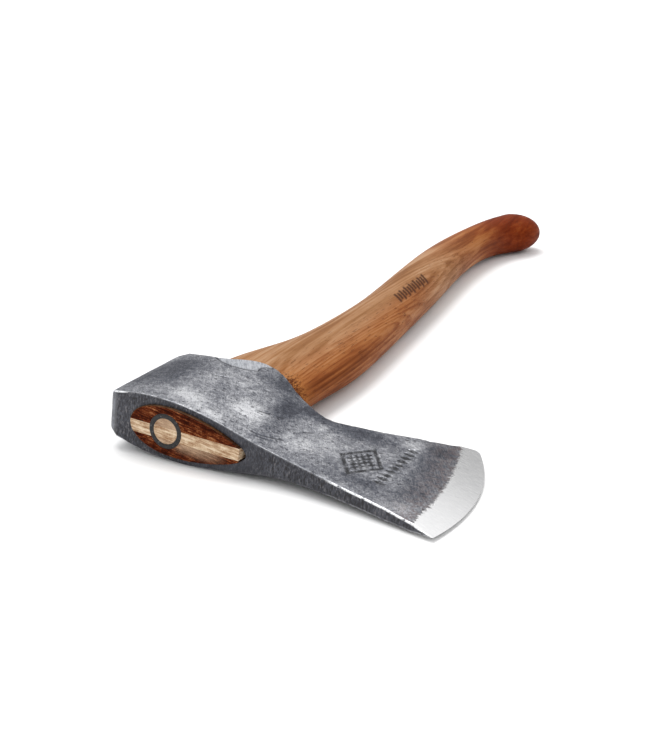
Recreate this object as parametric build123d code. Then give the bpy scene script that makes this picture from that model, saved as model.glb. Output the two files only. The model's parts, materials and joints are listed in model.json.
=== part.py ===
from build123d import *
from math import atan2, cos, degrees, hypot, pi, radians, sin
import os

# A forged hatchet lying on its side, as it rests on a bench: one cheek of the
# head, the shoulder of its bevel and the knob of the handle touch the surface.
#
# Four pieces make it up: the forged head, the curved hardwood handle, the wooden
# wedge in the handle's kerf, and the steel ring driven across both.
#
# Everything is drawn in a working frame and laid down at the end. There X runs
# from the poll to the edge, Y down the handle from the top of the head, and Z
# across the blade. X = 0 is the axis of the ring, Y = 0 the top face of the head
# and Z = 0 the middle plane of the blade. All sizes are in millimetres.

# --- head: side outline -------------------------------------------------------
POLL_X = -27.0                 # striking face of the poll
POLL_BOTTOM_Y = 46.0
POLL_BEVEL_X = 5.0             # bevel round the poll, measured along X
POLL_BEVEL_Y = 2.5             # and along Y
TOP_FLAT_END_X = 42.0          # the top face is flat from the poll to here
TOP_SWEEP = [(64.0, -2.4), (88.0, -6.9)]
TOE = (109.0, -11.5)
HEEL = (99.0, 59.3)
EDGE_BULGE = 7.6               # how far the edge bows out between toe and heel
HEEL_RADIUS = 3.0
BEARD = [(91.0, 55.6), (80.0, 50.7), (66.0, 45.3), (54.0, 41.0), (46.0, 38.9), (38.0, 41.0)]
SKIRT_TIP = (10.0, 55.2)       # the skirt guards the handle below each cheek
SKIRT_FRONT = [(30.0, 44.8), (23.0, 49.6), (17.0, 53.3)]
SKIRT_BACK = [(3.0, 53.4), (-4.0, 49.4), (-11.0, 47.4)]

# --- head: half thickness along X, the same on both cheeks --------------------
POLL_HALF = 7.4                # at the striking face, inside the bevel
CHEEK = [(-22.0, 9.2), (-13.0, 11.1), (-4.0, 11.8), (5.0, 11.7), (14.0, 10.7),
         (22.0, 9.3), (30.0, 7.5), (38.0, 5.8), (48.0, 4.3), (64.0, 3.05),
         (88.0, 2.35), (114.0, 1.9)]
BEVEL_WIDTH = 11.0             # the ground bevel, along the blade
BEVEL_HALF = 2.15              # half thickness where the bevel begins

# --- handle ---------------------------------------------------------------------
# One row per section: distance down the handle, middle x, half length, half
# thickness, turn of the section towards the edge in degrees, and how much
# narrower its front is than its back.
SECTIONS = [
    (-2.0, 8.8, 24.3, 9.1, 0.0, 0.30),
    (20.0, 8.6, 23.2, 8.6, 0.0, 0.28),
    (44.0, 7.3, 22.8, 9.4, 0.0, 0.17),
    (66.0, 8.4, 21.3, 10.3, 0.0, 0.07),
    (92.0, 12.4, 18.3, 10.7, 0.0, 0.0),
    (125.0, 13.4, 15.5, 11.0, 0.0, 0.0),
    (160.0, 11.7, 13.6, 11.0, 0.0, 0.0),
    (195.0, 8.5, 13.2, 11.0, 0.0, 0.0),
    (230.0, 4.8, 13.0, 10.8, 0.0, 0.0),
    (265.0, 1.4, 12.1, 10.4, 0.0, 0.0),
    (293.0, 0.4, 10.9, 10.3, 2.0, 0.0),
    (316.0, 1.1, 9.9, 10.5, 8.0, 0.0),
    (334.0, 3.1, 9.9, 10.9, 16.0, 0.0),
    (347.0, 6.0, 11.2, 11.1, 23.0, 0.0),
    (357.0, 9.4, 13.2, 11.3, 29.0, 0.0),
]
KNOB_LENGTH = 21.0             # the domed end past the last section
KNOB_STEPS = (0.36, 0.64, 0.84, 0.95, 0.99)
SECTION_POINTS = 24
WOOD_PROUD = 1.2               # the handle stands out of the top face by this
FRONT_GAP_X = 30.8             # the wood stops here, short of the front of the eye
FRONT_GAP_DEPTH = 14.0         # and meets the steel at this depth

# --- wedges ---------------------------------------------------------------------
WEDGE_TOP = 4.8                # thickness of the wooden wedge at the top
WEDGE_FOOT = 0.8
WEDGE_DEPTH = 38.0
WEDGE_SKEW = 2.5               # the kerf is sawn slightly across the blade, in degrees
WEDGE_OFFSET = -0.6
RING_RADIUS = 7.0
RING_BORE = 4.75
RING_LIP = 6.7                 # bore at the sharpened lower rim
RING_DEPTH = 18.0
RING_PROUD = 0.2
FAR = 200.0                    # longer than any cut needs to be


def section(y, middle, length, thickness, turn, narrow):
    """One closed section of the handle: an oval, or a teardrop where it fills the eye."""
    points = []
    for step in range(SECTION_POINTS):
        angle = 2 * pi * step / SECTION_POINTS
        along = length * cos(angle)
        across = thickness * sin(angle) * (1 - narrow * cos(angle))
        x = middle + along * cos(radians(turn))
        points.append((x, y - along * sin(radians(turn)), across))
    return Face(Wire(Spline(*points, periodic=True)))


def knob_section(share):
    """A section of the domed end, this share of the way to its tip."""
    y, middle, length, thickness, turn, narrow = SECTIONS[-1]
    reach = KNOB_LENGTH * share
    size = (1 - share ** 2) ** 0.5
    y += reach * cos(radians(turn))
    middle += reach * sin(radians(turn))
    return section(y, middle, length * size, thickness * size, turn, narrow)


def handle_blank():
    """The handle before the kerf is sawn, down to the domed knob."""
    sections = [section(*row) for row in SECTIONS]
    sections += [knob_section(share) for share in KNOB_STEPS]
    trim = Pos(0, -WOOD_PROUD - FAR / 2, 0) * Box(FAR, FAR, FAR)
    return loft(sections) - trim


def front_gap():
    """What is shaved off the front of the tongue, so the eye stays open there."""
    outline = Polyline((FRONT_GAP_X, -WOOD_PROUD), (FRONT_GAP_X, 0), (FRONT_GAP_X + 4, FRONT_GAP_DEPTH),
                       (FRONT_GAP_X + 20, FRONT_GAP_DEPTH), (FRONT_GAP_X + 20, -10),
                       (FRONT_GAP_X, -10), close=True)
    return extrude(Face(Wire(outline)), FAR / 4, both=True)


def edge_arc():
    """Centre and radius of the cutting edge, from its ends and its bulge."""
    chord = hypot(HEEL[0] - TOE[0], HEEL[1] - TOE[1])
    radius = (chord ** 2 / 4 + EDGE_BULGE ** 2) / (2 * EDGE_BULGE)
    inward_x = (TOE[1] - HEEL[1]) / chord
    inward_y = (HEEL[0] - TOE[0]) / chord
    middle_x = (TOE[0] + HEEL[0]) / 2 + inward_x * (radius - EDGE_BULGE)
    middle_y = (TOE[1] + HEEL[1]) / 2 + inward_y * (radius - EDGE_BULGE)
    return middle_x, middle_y, radius


def side_outline():
    """The head seen square to the blade."""
    centre_x, centre_y, radius = edge_arc()
    middle_angle = atan2((TOE[1] + HEEL[1]) / 2 - centre_y, (TOE[0] + HEEL[0]) / 2 - centre_x)
    edge_middle = (centre_x + radius * cos(middle_angle), centre_y + radius * sin(middle_angle))
    poll_top = (POLL_X, POLL_BEVEL_Y)
    top_start = (POLL_X + POLL_BEVEL_X, 0)
    top_end = (TOP_FLAT_END_X, 0)
    poll_foot = (POLL_X, POLL_BOTTOM_Y - POLL_BEVEL_Y)
    back_foot = (POLL_X + POLL_BEVEL_X, POLL_BOTTOM_Y + POLL_BEVEL_Y)
    lines = [
        Line(poll_top, top_start),
        Line(top_start, top_end),
        Spline(top_end, *TOP_SWEEP, TOE, tangents=[(1, 0), (1, -0.2)]),
        ThreePointArc(TOE, edge_middle, HEEL),
        Spline(HEEL, *BEARD, *SKIRT_FRONT, SKIRT_TIP, *SKIRT_BACK, back_foot),
        Line(back_foot, poll_foot),
        Line(poll_foot, poll_top),
    ]
    return Face(Wire(lines))


def plan_outline():
    """The head seen from above the eye."""
    upper = [(POLL_X, 0, POLL_HALF)] + [(x, 0, half) for x, half in CHEEK]
    lower = [(x, 0, -half) for x, _, half in upper]
    lines = [
        Line(upper[0], upper[1]),
        Spline(*upper[1:]),
        Line(upper[-1], lower[-1]),
        Spline(*lower[1:]),
        Line(lower[1], lower[0]),
        Line(lower[0], upper[0]),
    ]
    return Face(Wire(lines))


def bevel_lens():
    """A disc ground to a rim along the cutting edge: it cuts both bevels at once."""
    centre_x, centre_y, radius = edge_arc()
    land = radius - 2 * BEVEL_WIDTH
    height = 2 * BEVEL_HALF
    outline = Polyline((0, 0, FAR / 4), (land, 0, FAR / 4), (land, 0, height), (radius, 0, 0),
                       (land, 0, -height), (land, 0, -FAR / 4), (0, 0, -FAR / 4), close=True)
    return Pos(centre_x, centre_y, 0) * revolve(Face(Wire(outline)), Axis.Z)


def forge_head(eye):
    """The head: side and plan outlines intersected, ground to an edge, pierced by the eye."""
    sideways = extrude(side_outline(), FAR / 4, both=True)
    downwards = Pos(0, -FAR / 4, 0) * extrude(plan_outline(), FAR, dir=(0, 1, 0))
    blank = sideways & downwards
    heel_corner = blank.edges().filter_by(Axis.Z).sort_by_distance((*HEEL, 0))[0]
    blank = fillet(heel_corner, HEEL_RADIUS)
    return (blank & bevel_lens()) - eye


def wedge_slab():
    """The tapered slab that fills the saw kerf, longer than the eye."""
    top = -FAR / 20
    taper = (WEDGE_TOP - WEDGE_FOOT) / 2 / (WEDGE_DEPTH + WOOD_PROUD)
    half_foot = WEDGE_FOOT / 2
    half_top = half_foot + taper * (WEDGE_DEPTH - top)
    outline = Polyline((0, top, half_top), (0, WEDGE_DEPTH, half_foot), (0, WEDGE_DEPTH, -half_foot),
                       (0, top, -half_top), close=True)
    slab = extrude(Face(Wire(outline)), FAR / 2, dir=(1, 0, 0), both=True)
    return Pos(SECTIONS[0][1], 0, WEDGE_OFFSET) * Rot(0, -WEDGE_SKEW, 0) * slab


def ring_tube():
    """The steel ring wedge: a short tube, sharpened from inside at its lower rim."""
    top = -WOOD_PROUD - RING_PROUD
    outline = Polyline((RING_BORE, top), (RING_RADIUS, top), (RING_RADIUS, RING_DEPTH),
                       (RING_LIP, RING_DEPTH), (RING_BORE, RING_DEPTH * 0.4), close=True)
    return revolve(Face(Wire(outline)), Axis.Y)


def lay_down(pieces):
    """Tips the blade down to the surface and puts the origin under the middle."""
    centre_x, _, radius = edge_arc()
    shoulder_x = centre_x + radius - BEVEL_WIDTH
    around_eye = [row for row in CHEEK if row[0] < TOP_FLAT_END_X]
    tilt = max(degrees(atan2(half - BEVEL_HALF, shoulder_x - x)) for x, half in around_eye)
    tipped = {name: Rot(0, tilt, 0) * piece for name, piece in pieces.items()}
    boxes = [piece.bounding_box() for piece in tipped.values()]
    middle_x = (min(box.min.X for box in boxes) + max(box.max.X for box in boxes)) / 2
    middle_y = (min(box.min.Y for box in boxes) + max(box.max.Y for box in boxes)) / 2
    bottom = min(box.min.Z for box in boxes)
    return {name: Pos(-middle_x, -middle_y, -bottom) * piece for name, piece in tipped.items()}


eye = handle_blank()
tongue = eye - front_gap()
kerf = wedge_slab()
ring = ring_tube()
pieces = {
    "axe_head": forge_head(eye),
    "handle": tongue - kerf - ring,
    "wooden_wedge": (tongue & kerf) - ring,
    "ring_wedge": ring,
}

os.makedirs("parts", exist_ok=True)
for name, piece in lay_down(pieces).items():
    export_step(piece, f"parts/{name}.step")
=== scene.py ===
import json
import math

import bmesh
import bpy
import numpy as np
from mathutils import Matrix, Vector, noise


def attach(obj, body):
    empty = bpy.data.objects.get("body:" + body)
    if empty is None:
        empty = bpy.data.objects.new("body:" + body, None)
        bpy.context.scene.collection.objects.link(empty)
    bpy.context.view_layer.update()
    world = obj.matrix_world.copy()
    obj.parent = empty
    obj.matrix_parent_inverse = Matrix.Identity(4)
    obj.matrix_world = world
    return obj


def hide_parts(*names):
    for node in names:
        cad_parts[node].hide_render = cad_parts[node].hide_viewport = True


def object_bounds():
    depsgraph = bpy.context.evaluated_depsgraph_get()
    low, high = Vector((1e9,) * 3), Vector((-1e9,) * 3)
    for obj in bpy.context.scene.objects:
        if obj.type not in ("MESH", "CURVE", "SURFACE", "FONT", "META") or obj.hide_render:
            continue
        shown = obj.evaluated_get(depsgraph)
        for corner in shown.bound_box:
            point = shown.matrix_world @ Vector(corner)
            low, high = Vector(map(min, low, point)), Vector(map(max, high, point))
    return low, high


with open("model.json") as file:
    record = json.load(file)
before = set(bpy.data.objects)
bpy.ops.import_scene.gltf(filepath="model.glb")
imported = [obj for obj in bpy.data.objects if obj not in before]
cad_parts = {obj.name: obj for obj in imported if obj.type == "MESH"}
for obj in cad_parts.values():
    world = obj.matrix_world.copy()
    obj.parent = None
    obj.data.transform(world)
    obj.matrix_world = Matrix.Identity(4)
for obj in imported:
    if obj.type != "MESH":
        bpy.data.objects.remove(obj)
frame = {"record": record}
CAD_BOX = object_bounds()

# --- head ---
POLL_X = -27.0
POLL_BOTTOM_Y = 46.0
POLL_BEVEL_X = 5.0
POLL_BEVEL_Y = 2.5
TOP_LEAD = [(30.0, 0.0), (36.0, 0.0), (42.0, 0.0)]
TOP_SWEEP = [(64.0, -2.4), (88.0, -6.9)]
TOE = (109.0, -11.5)
HEEL = (99.0, 59.3)
EDGE_BULGE = 7.6
HEEL_CUT = 2.64                # the heel's corner is rounded from this far back
BEARD = [(91.0, 55.6), (80.0, 50.7), (66.0, 45.3), (54.0, 41.0), (46.0, 38.9), (38.0, 41.0)]
SKIRT = [(30.0, 44.8), (23.0, 49.6), (17.0, 53.3), (10.0, 55.2), (3.0, 53.4), (-4.0, 49.4),
         (-11.0, 47.4)]
POLL_HALF = 7.4
CHEEK = [(-22.0, 9.2), (-13.0, 11.1), (-4.0, 11.8), (5.0, 11.7), (14.0, 10.7), (22.0, 9.3),
         (30.0, 7.5), (38.0, 5.8), (48.0, 4.3), (64.0, 3.05), (88.0, 2.35), (114.0, 1.9)]
BEVEL_WIDTH = 11.0
BEVEL_HALF = 2.15
BEVEL_PEAK = (19.0, 11.4)      # where the polished bevel is widest, and how wide
BEVEL_NARROWING = 0.0035       # lost from its width per square millimetre away from there
RIM = 0.5                      # rounding of the rims of the top face and underside
POLL_RIM = 2.0                 # rounding round the striking face
BLADE_X = 58.0                 # columns stand upright up to here, then fan out to the edge
COLUMN_STEP = 0.5
CHEEK_ROWS = 120
STRIP_ROWS = 10
RIM_STEPS = 4

# --- handle, wedges ---
# distance down the handle, middle x, half length, half thickness, turn, front narrowing
SECTIONS = np.array([
    (-2.0, 8.8, 24.3, 9.1, 0.0, 0.30), (20.0, 8.6, 23.2, 8.6, 0.0, 0.28),
    (44.0, 7.3, 22.8, 9.4, 0.0, 0.17), (66.0, 8.4, 21.3, 10.3, 0.0, 0.07),
    (92.0, 12.4, 18.3, 10.7, 0.0, 0.0), (125.0, 13.4, 15.5, 11.0, 0.0, 0.0),
    (160.0, 11.7, 13.6, 11.0, 0.0, 0.0), (195.0, 8.5, 13.2, 11.0, 0.0, 0.0),
    (230.0, 4.8, 13.0, 10.8, 0.0, 0.0), (265.0, 1.4, 12.1, 10.4, 0.0, 0.0),
    (293.0, 0.4, 10.9, 10.3, 2.0, 0.0), (316.0, 1.1, 9.9, 10.5, 8.0, 0.0),
    (334.0, 3.1, 9.9, 10.9, 16.0, 0.0), (347.0, 6.0, 11.2, 11.1, 23.0, 0.0),
    (357.0, 9.4, 13.2, 11.3, 29.0, 0.0),
])
KNOB_LENGTH = 21.0
WOOD_PROUD = 1.2
FRONT_GAP_X = 30.8
FRONT_GAP_DEPTH = 14.0
WEDGE_TOP = 4.8
WEDGE_FOOT = 0.8
WEDGE_DEPTH = 38.0
WEDGE_SKEW = 2.5
WEDGE_OFFSET = -0.6
RING_RADIUS = 7.0
RING_BORE = 4.75
RING_LIP = 6.7
RING_DEPTH = 18.0
RING_PROUD = 0.2
SEAM = 0.03                    # hairline between the wedges and the wood
HANDLE_ROW = 0.8
HANDLE_POINTS = 120
RING_POINTS = 96

# --- generic marks: a hatched lozenge and punches on the cheek, bars on the handle ---
LOZENGE_AT = (69.3, 18.4)
LOZENGE_HALF = (8.6, 12.0)
HATCH_PITCH = 2.7
PUNCH_X = 80.8
PUNCH_ROW = (6.8, 39.8)
PUNCH_PITCH = 3.3
BARS_AT = (14.6, 168.0)
BARS_LENGTH = 41.6
BAR_PITCH = 3.2

# --- camera ---
VIEW_AZIMUTH = 26.24
VIEW_ELEVATION = 20.35
VIEW_ROLL = 1.256
VIEW_DISTANCE = 0.504
VIEW_AIM = (-0.0183, -0.1026, 0.0)   # from the middle of the object's footprint
LENS = 59.28

# --- floor, light ---
FLOOR_REACH = 8.0               # metres from the middle, so that no view sees its end
DOME_STRENGTH = 1.50
# sine of the height over the horizon, and the grey of the dome there
DOME = [(0.08, 0.70), (0.16, 0.39), (0.36, 0.39), (0.68, 1.0), (0.78, 1.0), (0.96, 0.52)]
KEY_STRENGTH = 1.65
KEY_FROM = (-0.36, 0.24, 1.25)
KEY_WIDTH = 31.0                # degrees across, which softens the shadows


# === placing ===
def read_placing():
    """The turn and shift that lay the hatchet down, from where the record has the poll face."""
    poll = next(m for m in frame["record"]["mounts"] if m["name"] == "poll_face")
    turn = Matrix.Rotation(math.asin(poll["axis"][2]), 3, "Y")
    shift = Vector(poll["pos_m"]) - turn @ Vector((POLL_X, POLL_BOTTOM_Y / 2, 0)) / 1000
    return np.array(turn), np.array(shift)


TURN, SHIFT = read_placing()


def laid_down(points):
    """Hatchet millimetres to the frame's metres."""
    return points @ TURN.T / 1000 + SHIFT


def stood_up(points):
    """The frame's metres back to hatchet millimetres."""
    return (points - SHIFT) @ TURN * 1000


# === curves ===
def spline(knots, values, at):
    """A smooth cubic curve through the values at the knots, read at other places."""
    knots, values, at = (np.asarray(a, float) for a in (knots, values, at))
    gaps = np.diff(knots)
    slopes = np.diff(values, axis=0) / (gaps if values.ndim == 1 else gaps[:, None])
    system = np.eye(len(knots))
    wanted = np.zeros_like(values)
    for i in range(1, len(knots) - 1):
        system[i, i - 1:i + 2] = gaps[i - 1], 2 * (gaps[i - 1] + gaps[i]), gaps[i]
        wanted[i] = 6 * (slopes[i] - slopes[i - 1])
    bends = np.linalg.solve(system, wanted)
    span = np.clip(np.searchsorted(knots, at, side="right") - 1, 0, len(gaps) - 1)
    before, after, gap = at - knots[span], knots[span + 1] - at, gaps[span]
    if values.ndim == 2:
        before, after, gap = before[..., None], after[..., None], gap[..., None]
    bend = (bends[span] * after ** 3 + bends[span + 1] * before ** 3) / (6 * gap)
    line = (values[span] / gap - bends[span] * gap / 6) * after
    return bend + line + (values[span + 1] / gap - bends[span + 1] * gap / 6) * before


def reaches(line):
    """How far along a line each of its points is."""
    return np.concatenate([[0], np.cumsum(np.linalg.norm(np.diff(line, axis=0), axis=1))])


def curve(points, count=400):
    """A dense line along the smooth curve through the points."""
    knots = reaches(points)
    return spline(knots, points, np.linspace(0, knots[-1], count))


def along(line, share):
    """Points on a line at shares of its length."""
    reach = reaches(line)
    return np.stack([np.interp(share * reach[-1], reach, line[:, k]) for k in (0, 1)], -1)


def stretch_of(line, start_x, end_x):
    """The part of a left-to-right line between two values of x."""
    x = np.linspace(start_x, end_x, 160)
    return np.stack([x, np.interp(x, line[:, 0], line[:, 1])], -1)


def smoothstep(low, high, value):
    share = np.clip((value - low) / (high - low), 0, 1)
    return share * share * (3 - 2 * share)


# === head: outlines ===
TOP_LINE = np.vstack([[(POLL_X, POLL_BEVEL_Y), (POLL_X + POLL_BEVEL_X, 0)],
                      curve(TOP_LEAD + TOP_SWEEP + [TOE])])
FOOT_LINE = np.vstack([[(POLL_X, POLL_BOTTOM_Y - POLL_BEVEL_Y)],
                       curve([HEEL] + BEARD + SKIRT
                             + [(POLL_X + POLL_BEVEL_X, POLL_BOTTOM_Y + POLL_BEVEL_Y)])[::-1]])
CHEEK_LINE = np.vstack([[(POLL_X, POLL_HALF)], curve(CHEEK)])


def edge_circle():
    """Centre and radius of the cutting edge, from its ends and its bulge."""
    chord = math.dist(HEEL, TOE)
    radius = (chord ** 2 / 4 + EDGE_BULGE ** 2) / (2 * EDGE_BULGE)
    inward = np.array([TOE[1] - HEEL[1], HEEL[0] - TOE[0]]) / chord
    middle = (np.array(TOE) + np.array(HEEL)) / 2
    return middle + inward * (radius - EDGE_BULGE), radius


EDGE_CENTRE, EDGE_RADIUS = edge_circle()


def edge_distance(places):
    """How far places on the blade are behind the cutting edge."""
    return EDGE_RADIUS - np.linalg.norm(places[..., :2] - EDGE_CENTRE, axis=-1)


def past_bevel(places):
    """How far places are behind the polished bevel, which narrows towards toe and heel."""
    width = BEVEL_PEAK[1] - BEVEL_NARROWING * (places[..., 1] - BEVEL_PEAK[0]) ** 2
    return edge_distance(places) - width


def half_thickness(places):
    """Half the head's thickness: the cheek's, or the ground bevel's where that is less."""
    cheek = np.interp(places[..., 0], CHEEK_LINE[:, 0], CHEEK_LINE[:, 1])
    edge = np.maximum(edge_distance(places), 0)
    past = np.maximum(past_bevel(places), 0)
    land = edge - past * (0.85 - 0.012 * past)
    ground = BEVEL_HALF / BEVEL_WIDTH * land
    return np.where(places[..., 0] > BLADE_X, np.minimum(cheek, ground), cheek)


def eye_section(y):
    """Middle, half length, half thickness, turn and front narrowing of the handle there."""
    return np.moveaxis(spline(SECTIONS[:, 0], SECTIONS[:, 1:], y), -1, 0)


def eye_half(x, y):
    """Half the width of the eye, and nothing beyond its ends."""
    middle, length, thickness, _, narrow = eye_section(y)
    lean = np.clip((x - middle) / length, -1, 1)
    return thickness * np.sqrt(1 - lean ** 2) * (1 - narrow * lean)


def eye_ends(line):
    """Where the eye begins and ends along the top or the underside."""
    middle, length, *_ = eye_section(line[:, 1])
    lean = (line[:, 0] - middle) / length
    return np.interp([-1, 1], lean, line[:, 0])


# === head: surface ===
def skin(place, thickness, hole_top, hole_foot):
    """One half of the head in columns: top face, rim, cheek, rim, underside.

    Returns the points, how far each is from a rim, and how far it faces off the cheek."""
    ends = place(np.array([[0.0, 1.0]]))
    length = np.linalg.norm(ends[:, 1] - ends[:, 0], axis=-1)[:, None]
    rim_top, rim_foot = np.minimum(RIM, 0.45 * thickness(ends)).T[..., None]
    bend = np.linspace(0, math.pi / 2, RIM_STEPS + 1)[None, :]
    strip = np.linspace(0, 1, STRIP_ROWS, endpoint=False)[None, :]
    rows = np.linspace(0, 1, CHEEK_ROWS + 2)[None, 1:-1]
    clear = length - rim_top - rim_foot
    nothing = np.zeros((len(length), 1))
    reach = np.hstack([nothing * strip, rim_top * (1 - np.cos(bend)), rim_top + clear * rows,
                       (length - rim_foot * (1 - np.cos(bend)))[:, ::-1],
                       length + nothing * strip])
    places = place(reach / length)
    half = thickness(places)
    cuts = np.cumsum([STRIP_ROWS, RIM_STEPS + 1, CHEEK_ROWS, RIM_STEPS + 1])
    top, rim_a, cheek, rim_b, foot = np.split(half, cuts, axis=1)
    flat_top = top - rim_top
    flat_foot = foot - rim_foot
    back = strip[:, ::-1]
    z = np.hstack([hole_top[:, None] + (flat_top - hole_top[:, None]) * strip,
                   rim_a - rim_top * (1 - np.sin(bend)),
                   cheek,
                   rim_b - (rim_foot * (1 - np.sin(bend)))[:, ::-1],
                   hole_foot[:, None] + (flat_foot - hole_foot[:, None]) * back])
    from_rim = np.hstack([flat_top * (1 - strip), 0 * rim_a,
                          np.minimum(clear * rows, clear * (1 - rows)), 0 * rim_b,
                          flat_foot * (1 - back)])
    off_cheek = np.hstack([1 + 0 * top, 0 * rim_a + 1 - np.sin(bend), 0 * cheek,
                           (0 * rim_b + 1 - np.sin(bend))[:, ::-1], 1 + 0 * foot])
    return np.dstack([places, z]), from_rim, off_cheek


def upright_skin(x, inset):
    """Columns across the body of the head; the inset ones close the poll."""
    top = np.interp(x, TOP_LINE[:, 0], TOP_LINE[:, 1]) + inset
    foot = np.interp(x, FOOT_LINE[:, 0], FOOT_LINE[:, 1]) - inset

    def place(share):
        y = top[:, None] + (foot - top)[:, None] * share
        return np.stack([x[:, None] + 0 * y, y], -1)

    def thickness(places):
        return np.maximum(half_thickness(places) - inset[:, None], 0)

    holes = (np.where(inset > 0, 0, eye_half(x, y)) for y in (top, foot))
    return skin(place, thickness, *holes)


def fanned_skin(near, far, upper, lower, shares):
    """Columns between two lines across the blade, bounded by its top and its beard."""
    upper_at, lower_at = along(upper, shares), along(lower, shares)
    s = shares[:, None, None]

    def place(v):
        v = np.broadcast_to(v, (len(shares), v.shape[-1]))
        w = v[..., None]
        across = (1 - s) * along(near, v) + s * along(far, v)
        down = (1 - w) * upper_at[:, None] + w * lower_at[:, None]
        corners = (1 - w) * ((1 - s) * near[0] + s * far[0]) + w * ((1 - s) * near[-1] + s * far[-1])
        return across + down - corners

    nothing = np.zeros(len(shares))
    return skin(place, half_thickness, nothing, nothing)


def poll_columns():
    """x and inset of the columns over the rounded rim of the poll and across its face."""
    bend = np.linspace(math.pi / 2, 0, 6)[:-1]
    rim_x = POLL_X + POLL_RIM * (1 - np.sin(bend))
    rim_inset = POLL_RIM * (1 - np.cos(bend))
    face_inset = np.linspace(POLL_HALF, POLL_RIM, 14)[:-1]
    x = np.concatenate([np.full(len(face_inset), POLL_X), rim_x])
    return x, np.concatenate([face_inset, rim_inset])


def body_columns():
    """x of the columns along the body, crowded where the eye begins and ends."""
    spread = np.linspace(-1, 1, 17)
    crowd = COLUMN_STEP * 1.5 * (spread * np.abs(spread))
    special = [end + crowd for end in (*eye_ends(TOP_LINE[1:200]), *eye_ends(FOOT_LINE))]
    special.append(POLL_X + POLL_BEVEL_X + np.array([-0.3, 0, 0.3]))
    special = np.sort(np.concatenate(special))
    even = np.arange(POLL_X + POLL_RIM, BLADE_X, COLUMN_STEP)
    apart = np.abs(even[:, None] - special[None, :]).min(1) > 0.06
    return np.sort(np.concatenate([special, even[apart]]))


def circle_part(radius, start, end, count=120):
    """Part of a circle round the edge's centre, between two points' directions."""
    angles = [math.atan2(p[1] - EDGE_CENTRE[1], p[0] - EDGE_CENTRE[0]) for p in (start, end)]
    turn = np.linspace(*angles, count)
    return EDGE_CENTRE + radius * np.stack([np.cos(turn), np.sin(turn)], -1)


def rounded_heel(beard_end, edge_end):
    """The heel's corner, from the beard round to the cutting edge."""
    t = np.linspace(0, 1, 41)[:, None]
    return beard_end * (1 - t) ** 2 + 2 * np.array(HEEL) * t * (1 - t) + edge_end * t ** 2


def blade_skins():
    """The blade from the upright columns to the bevel, and the bevel itself."""
    land = EDGE_RADIUS - BEVEL_WIDTH
    crossing = []
    for line in (TOP_LINE, FOOT_LINE):
        blade = line[line[:, 0] > BLADE_X]
        crossing.append(np.interp(land, EDGE_RADIUS - edge_distance(blade), blade[:, 0]))
    top_cross, foot_cross = crossing
    upper = stretch_of(TOP_LINE, BLADE_X, top_cross)
    lower = stretch_of(FOOT_LINE, BLADE_X, foot_cross)
    upright = np.linspace(upper[0], lower[0], 120)
    shoulder = circle_part(land, upper[-1], lower[-1])
    count = int((upper[-1, 0] - BLADE_X) / 0.38)
    blade = fanned_skin(upright, shoulder, upper, lower, np.linspace(0, 1, count)[1:])

    beard = stretch_of(FOOT_LINE, foot_cross, HEEL[0])
    arc = circle_part(EDGE_RADIUS, TOE, HEEL, 240)
    left, right = (along(line, 1 - HEEL_CUT / reaches(line)[-1]) for line in (beard, arc))
    corner = rounded_heel(left, right)
    edge = np.vstack([circle_part(EDGE_RADIUS, TOE, right), corner[:19:-1]])
    lower = np.vstack([stretch_of(FOOT_LINE, foot_cross, left[0]), corner[:21]])
    upper = stretch_of(TOP_LINE, top_cross, TOE[0])
    bevel = fanned_skin(shoulder, edge, upper, lower, np.linspace(0, 1, 34)[1:])
    bevel[0][-1, :, 2] = 0
    return blade, bevel


def eye_wall(columns):
    """The inside of the eye, from the top face down to the underside."""
    middle, length, *_ = eye_section(0.0)
    start, end = eye_ends(TOP_LINE[1:200])
    x = columns[(columns > start - 1e-6) & (columns < end + 1e-6)]
    lean = np.clip((x - middle) / length, -1, 1)
    foot = np.full(len(x), POLL_BOTTOM_Y)
    for _ in range(12):
        middle, length, *_ = eye_section(foot)
        foot = np.interp(middle + length * lean, FOOT_LINE[:, 0], FOOT_LINE[:, 1])
    y = foot[:, None] * np.linspace(0, 1, 24)[None, :]
    middle, length, *_ = eye_section(y)
    x = middle + length * lean[:, None]
    return np.dstack([x, y, eye_half(x, y)])


def net_faces(columns, rows, start=0, round_columns=False, round_rows=False):
    """Quads over a net of points stored column by column; what is round meets its own start."""
    i, j = np.mgrid[:columns if round_columns else columns - 1, :rows if round_rows else rows - 1]
    n, k = (i + 1) % columns, (j + 1) % rows
    quads = np.stack([i * rows + j, i * rows + k, n * rows + k, n * rows + j], -1)
    return start + quads.reshape(-1, 4)


def head_points():
    """Both halves of the head: points, quads, distance to a rim, facing off the cheek."""
    poll_x, poll_inset = poll_columns()
    columns = body_columns()
    x = np.concatenate([poll_x, columns])
    inset = np.concatenate([poll_inset, np.zeros(len(columns))])
    joined = [np.concatenate(parts) for parts in zip(upright_skin(x, inset), *blade_skins())]
    joined[1][:len(poll_x)] = poll_inset[:, None]
    turned_off = smoothstep(0, POLL_RIM, poll_inset)[:, None]
    joined[2][:len(poll_x)] = np.maximum(joined[2][:len(poll_x)], turned_off)
    wall = eye_wall(columns)
    no_rim = np.full(wall.shape[:2], 9.0)
    nets = [joined, [wall, no_rim, np.ones_like(no_rim)]]
    points, quads, rims, faces = [], [], [], []
    start = 0
    for side in (1, -1):
        for net, from_rim, off_cheek in nets:
            points.append((net * (1, 1, side)).reshape(-1, 3))
            quads.append(net_faces(*net.shape[:2], start))
            rims.append(from_rim.ravel())
            faces.append(off_cheek.ravel())
            start += len(points[-1])
    return np.vstack(points), np.vstack(quads), np.concatenate(rims), np.concatenate(faces)


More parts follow.
